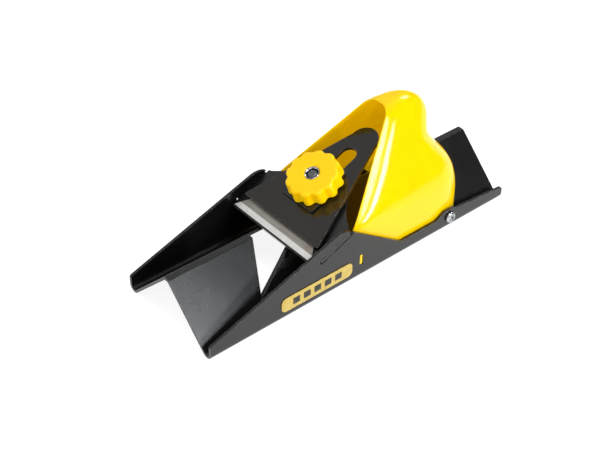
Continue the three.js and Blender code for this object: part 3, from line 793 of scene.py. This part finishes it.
# ---- screws ------------------------------------------------------------------------------------
def screw(place, side):
    under = HALF + GAP
    top = under + SCREW_HEAD_T
    shank = under - SCREW_L
    profile = [
        (0.15, shank),
        (SCREW_R - 0.5, shank + 0.9),
        (SCREW_R, shank + 1.6),
        (SCREW_R, under - 0.5),
        (SCREW_R + 0.05, under - 0.02),
        (SCREW_HEAD_R - 0.12, under),
        (SCREW_HEAD_R, under + 0.12),
        (SCREW_HEAD_R, under + 0.75),
        (SCREW_HEAD_R - 0.1, under + 1.02),
        (SCREW_HEAD_R - 0.42, under + 1.36),
        (SCREW_HEAD_R - 0.95, under + 1.62),
        (SCREW_HEAD_R - 1.6, under + 1.8),
        (SCREW_HEAD_R - 2.3, top - 0.01),
    ]
    turn = Matrix.Rotation(-side * math.pi / 2, 4, "X")
    matrix = Matrix.Translation((SCREW_X, 0, SCREW_Z)) @ turn
    name = f"grip_screw_{place}"
    thread = (shank + 0.9, under - 0.5, SCREW_PITCH, SCREW_THREAD)
    obj = threaded(name, profile, *thread, 56, matrix, 0.12)
    twist = Matrix.Rotation(math.radians(28 if side < 0 else 61), 4, "Z")
    arm, thick = 0.6 * SCREW_HEAD_R, 0.15 * SCREW_HEAD_R
    for turned in (0, math.pi / 2):
        rows = []
        for z, share in ((top - CROSS_DEPTH, 0.62), (top + 0.5, 1.12)):
            a, b = arm * share, thick * (0.8 + 0.3 * share)
            rows.append([(-a, -b, z), (a, -b, z), (a, b, z), (-a, b, z)])
        place_cross = matrix @ twist @ Matrix.Rotation(turned, 4, "Z")
        cutter = ring_mesh("cross", rows, cap_low=True, cap_high=True, matrix=place_cross)
        boolean(obj, cutter)
    return smooth(obj, 32)


for place, side in (("near", -1), ("far", 1)):
    finish_piece(screw(place, side), ZINC, "frame", "zinc_plate", f"handle_screw_{place}")


# ---- labels ------------------------------------------------------------------------------------
def label(place, side):
    corner = 0.35 * LABEL_H
    outline = []
    for cx, cz, start in (
        (LABEL_L / 2 - corner, LABEL_H / 2 - corner, 0),
        (corner - LABEL_L / 2, LABEL_H / 2 - corner, 90),
        (corner - LABEL_L / 2, corner - LABEL_H / 2, 180),
        (LABEL_L / 2 - corner, corner - LABEL_H / 2, 270),
    ):
        for k in range(13):
            a = math.radians(start + 90 * k / 12)
            outline.append((cx + corner * math.cos(a), cz + corner * math.sin(a)))
    rows = []
    edge = [(0.12, 0.0), (0.0, 0.1), (0.0, LABEL_T - 0.12), (0.05, LABEL_T - 0.03), (0.16, LABEL_T)]
    for inset, rise in edge:
        y = side * (HALF + LABEL_GAP + rise)
        shares = (1 - 2 * inset / LABEL_L, 1 - 2 * inset / LABEL_H)
        rows.append([(LABEL_X + u * shares[0], y, LABEL_Z + v * shares[1]) for u, v in outline])
    return ring_mesh(f"side_label_{place}", rows, cap_low=True, cap_high=True)


for place, side in (("near", -1), ("far", 1)):
    finish_piece(smooth(label(place, side), 40), LABEL, "frame", "label_foil", f"label_{place}")


# ---- floor, light and camera -------------------------------------------------------------------
FLOOR_HALF = 9000
FLOOR_DROP = 0.05  # the part stands just clear of the floor
FLOOR_GLOW = 0.88
WORLD_UP = (-0.25, 0.5, 0.83)  # the bright side of the studio
WORLD_LOW = 0.05
WORLD_HIGH = 0.72
CAMERA_AT = (-0.3399, -0.3799, 0.4185)
CAMERA_ALONG = (0.502, 0.607, -0.616)
CAMERA_LENS = 74.66
CAMERA_SENSOR = 36
CAMERA_SHIFT = (0.0225, -0.0222)
CAMERA_CLIP = (0.01, 50)


def floor():
    """A pale floor that glows a little, so that it stays pale round the part."""
    h = FLOOR_HALF
    corners = [(x, y, -FLOOR_DROP) for x, y in ((-h, -h), (h, -h), (h, h), (-h, h))]
    obj = make_object("floor", corners, [(0, 1, 2, 3)])
    n = Nodes("floor_paper")
    grain = n.noise(500, 2, 0.5)
    n.link(n.mix(grain, (0.3, 0.3, 0.3, 1), (0.34, 0.34, 0.34, 1)), n.shader.inputs["Base Color"])
    n.set(Roughness=0.9, Specular_IOR_Level=0.1)
    n.set(Emission_Color=(1, 1, 1, 1), Emission_Strength=FLOOR_GLOW)
    obj.data.materials.append(n.material)


def area_light(name, place, target, size, radiance, colour):
    """A soft box. Its radiance is kept when its size changes."""
    data = bpy.data.lights.new(name, "AREA")
    data.shape = "RECTANGLE"
    data.size, data.size_y = size
    data.energy = radiance * size[0] * size[1] * math.pi
    data.color = colour
    obj = bpy.data.objects.new(name, data)
    bpy.context.scene.collection.objects.link(obj)
    obj.location = place
    obj.rotation_euler = (Vector(target) - Vector(place)).to_track_quat("-Z", "Y").to_euler()


def studio_world():
    """A plain studio: bright above and behind, dim in front."""
    world = bpy.data.worlds.new("studio")
    bpy.context.scene.world = world
    world.use_nodes = True
    tree = world.node_tree
    place = tree.nodes.new("ShaderNodeTexCoord")
    dot = tree.nodes.new("ShaderNodeVectorMath")
    dot.operation = "DOT_PRODUCT"
    dot.inputs[1].default_value = Vector(WORLD_UP).normalized()
    tree.links.new(place.outputs["Generated"], dot.inputs[0])
    ramp = tree.nodes.new("ShaderNodeMapRange")
    ramp.interpolation_type = "SMOOTHSTEP"
    reach = {"From Min": 0.1, "From Max": 0.85, "To Min": WORLD_LOW, "To Max": WORLD_HIGH}
    for key, value in reach.items():
        ramp.inputs[key].default_value = value
    tree.links.new(dot.outputs["Value"], ramp.inputs["Value"])
    tree.nodes["Background"].inputs["Color"].default_value = (1, 1, 1, 1)
    tree.links.new(ramp.outputs["Result"], tree.nodes["Background"].inputs["Strength"])


floor()
studio_world()
# name, place, aimed at, size, radiance, colour
LIGHTS = [
    ("strip", (0.33, -0.79, 0.375), (0.02, -0.02, 0.045), (0.32, 0.10), 44.0, (1, 1, 1)),
    ("toe", (0.155, -0.735, 0.60), (-0.08, 0.0, 0.01), (0.19, 0.18), 27.0, (0.9, 0.96, 1.0)),
    ("fill", (-0.66, -0.95, 0.36), (0.0, 0.0, 0.03), (0.8, 0.5), 2.8, (1, 1, 1)),
    ("rim", (0.95, 0.22, 0.68), (0.05, 0.0, 0.05), (0.3, 0.3), 9.0, (1, 1, 1)),
    ("top", (-0.1, 0.05, 1.2), (0.02, 0.0, 0.04), (0.6, 0.6), 3.6, (1, 1, 1)),
]
for light in LIGHTS:
    area_light(*light)

data = bpy.data.cameras.new("camera")
data.sensor_fit = "HORIZONTAL"
data.sensor_width = CAMERA_SENSOR
data.lens = CAMERA_LENS
data.shift_x, data.shift_y = CAMERA_SHIFT
data.clip_start, data.clip_end = CAMERA_CLIP
camera = bpy.data.objects.new("camera", data)
bpy.context.scene.collection.objects.link(camera)
camera.location = CAMERA_AT
camera.rotation_euler = Vector(CAMERA_ALONG).to_track_quat("-Z", "Y").to_euler()
bpy.context.scene.camera = camera
bpy.context.scene.view_settings.view_transform = "Standard"

bpy.context.view_layer.update()
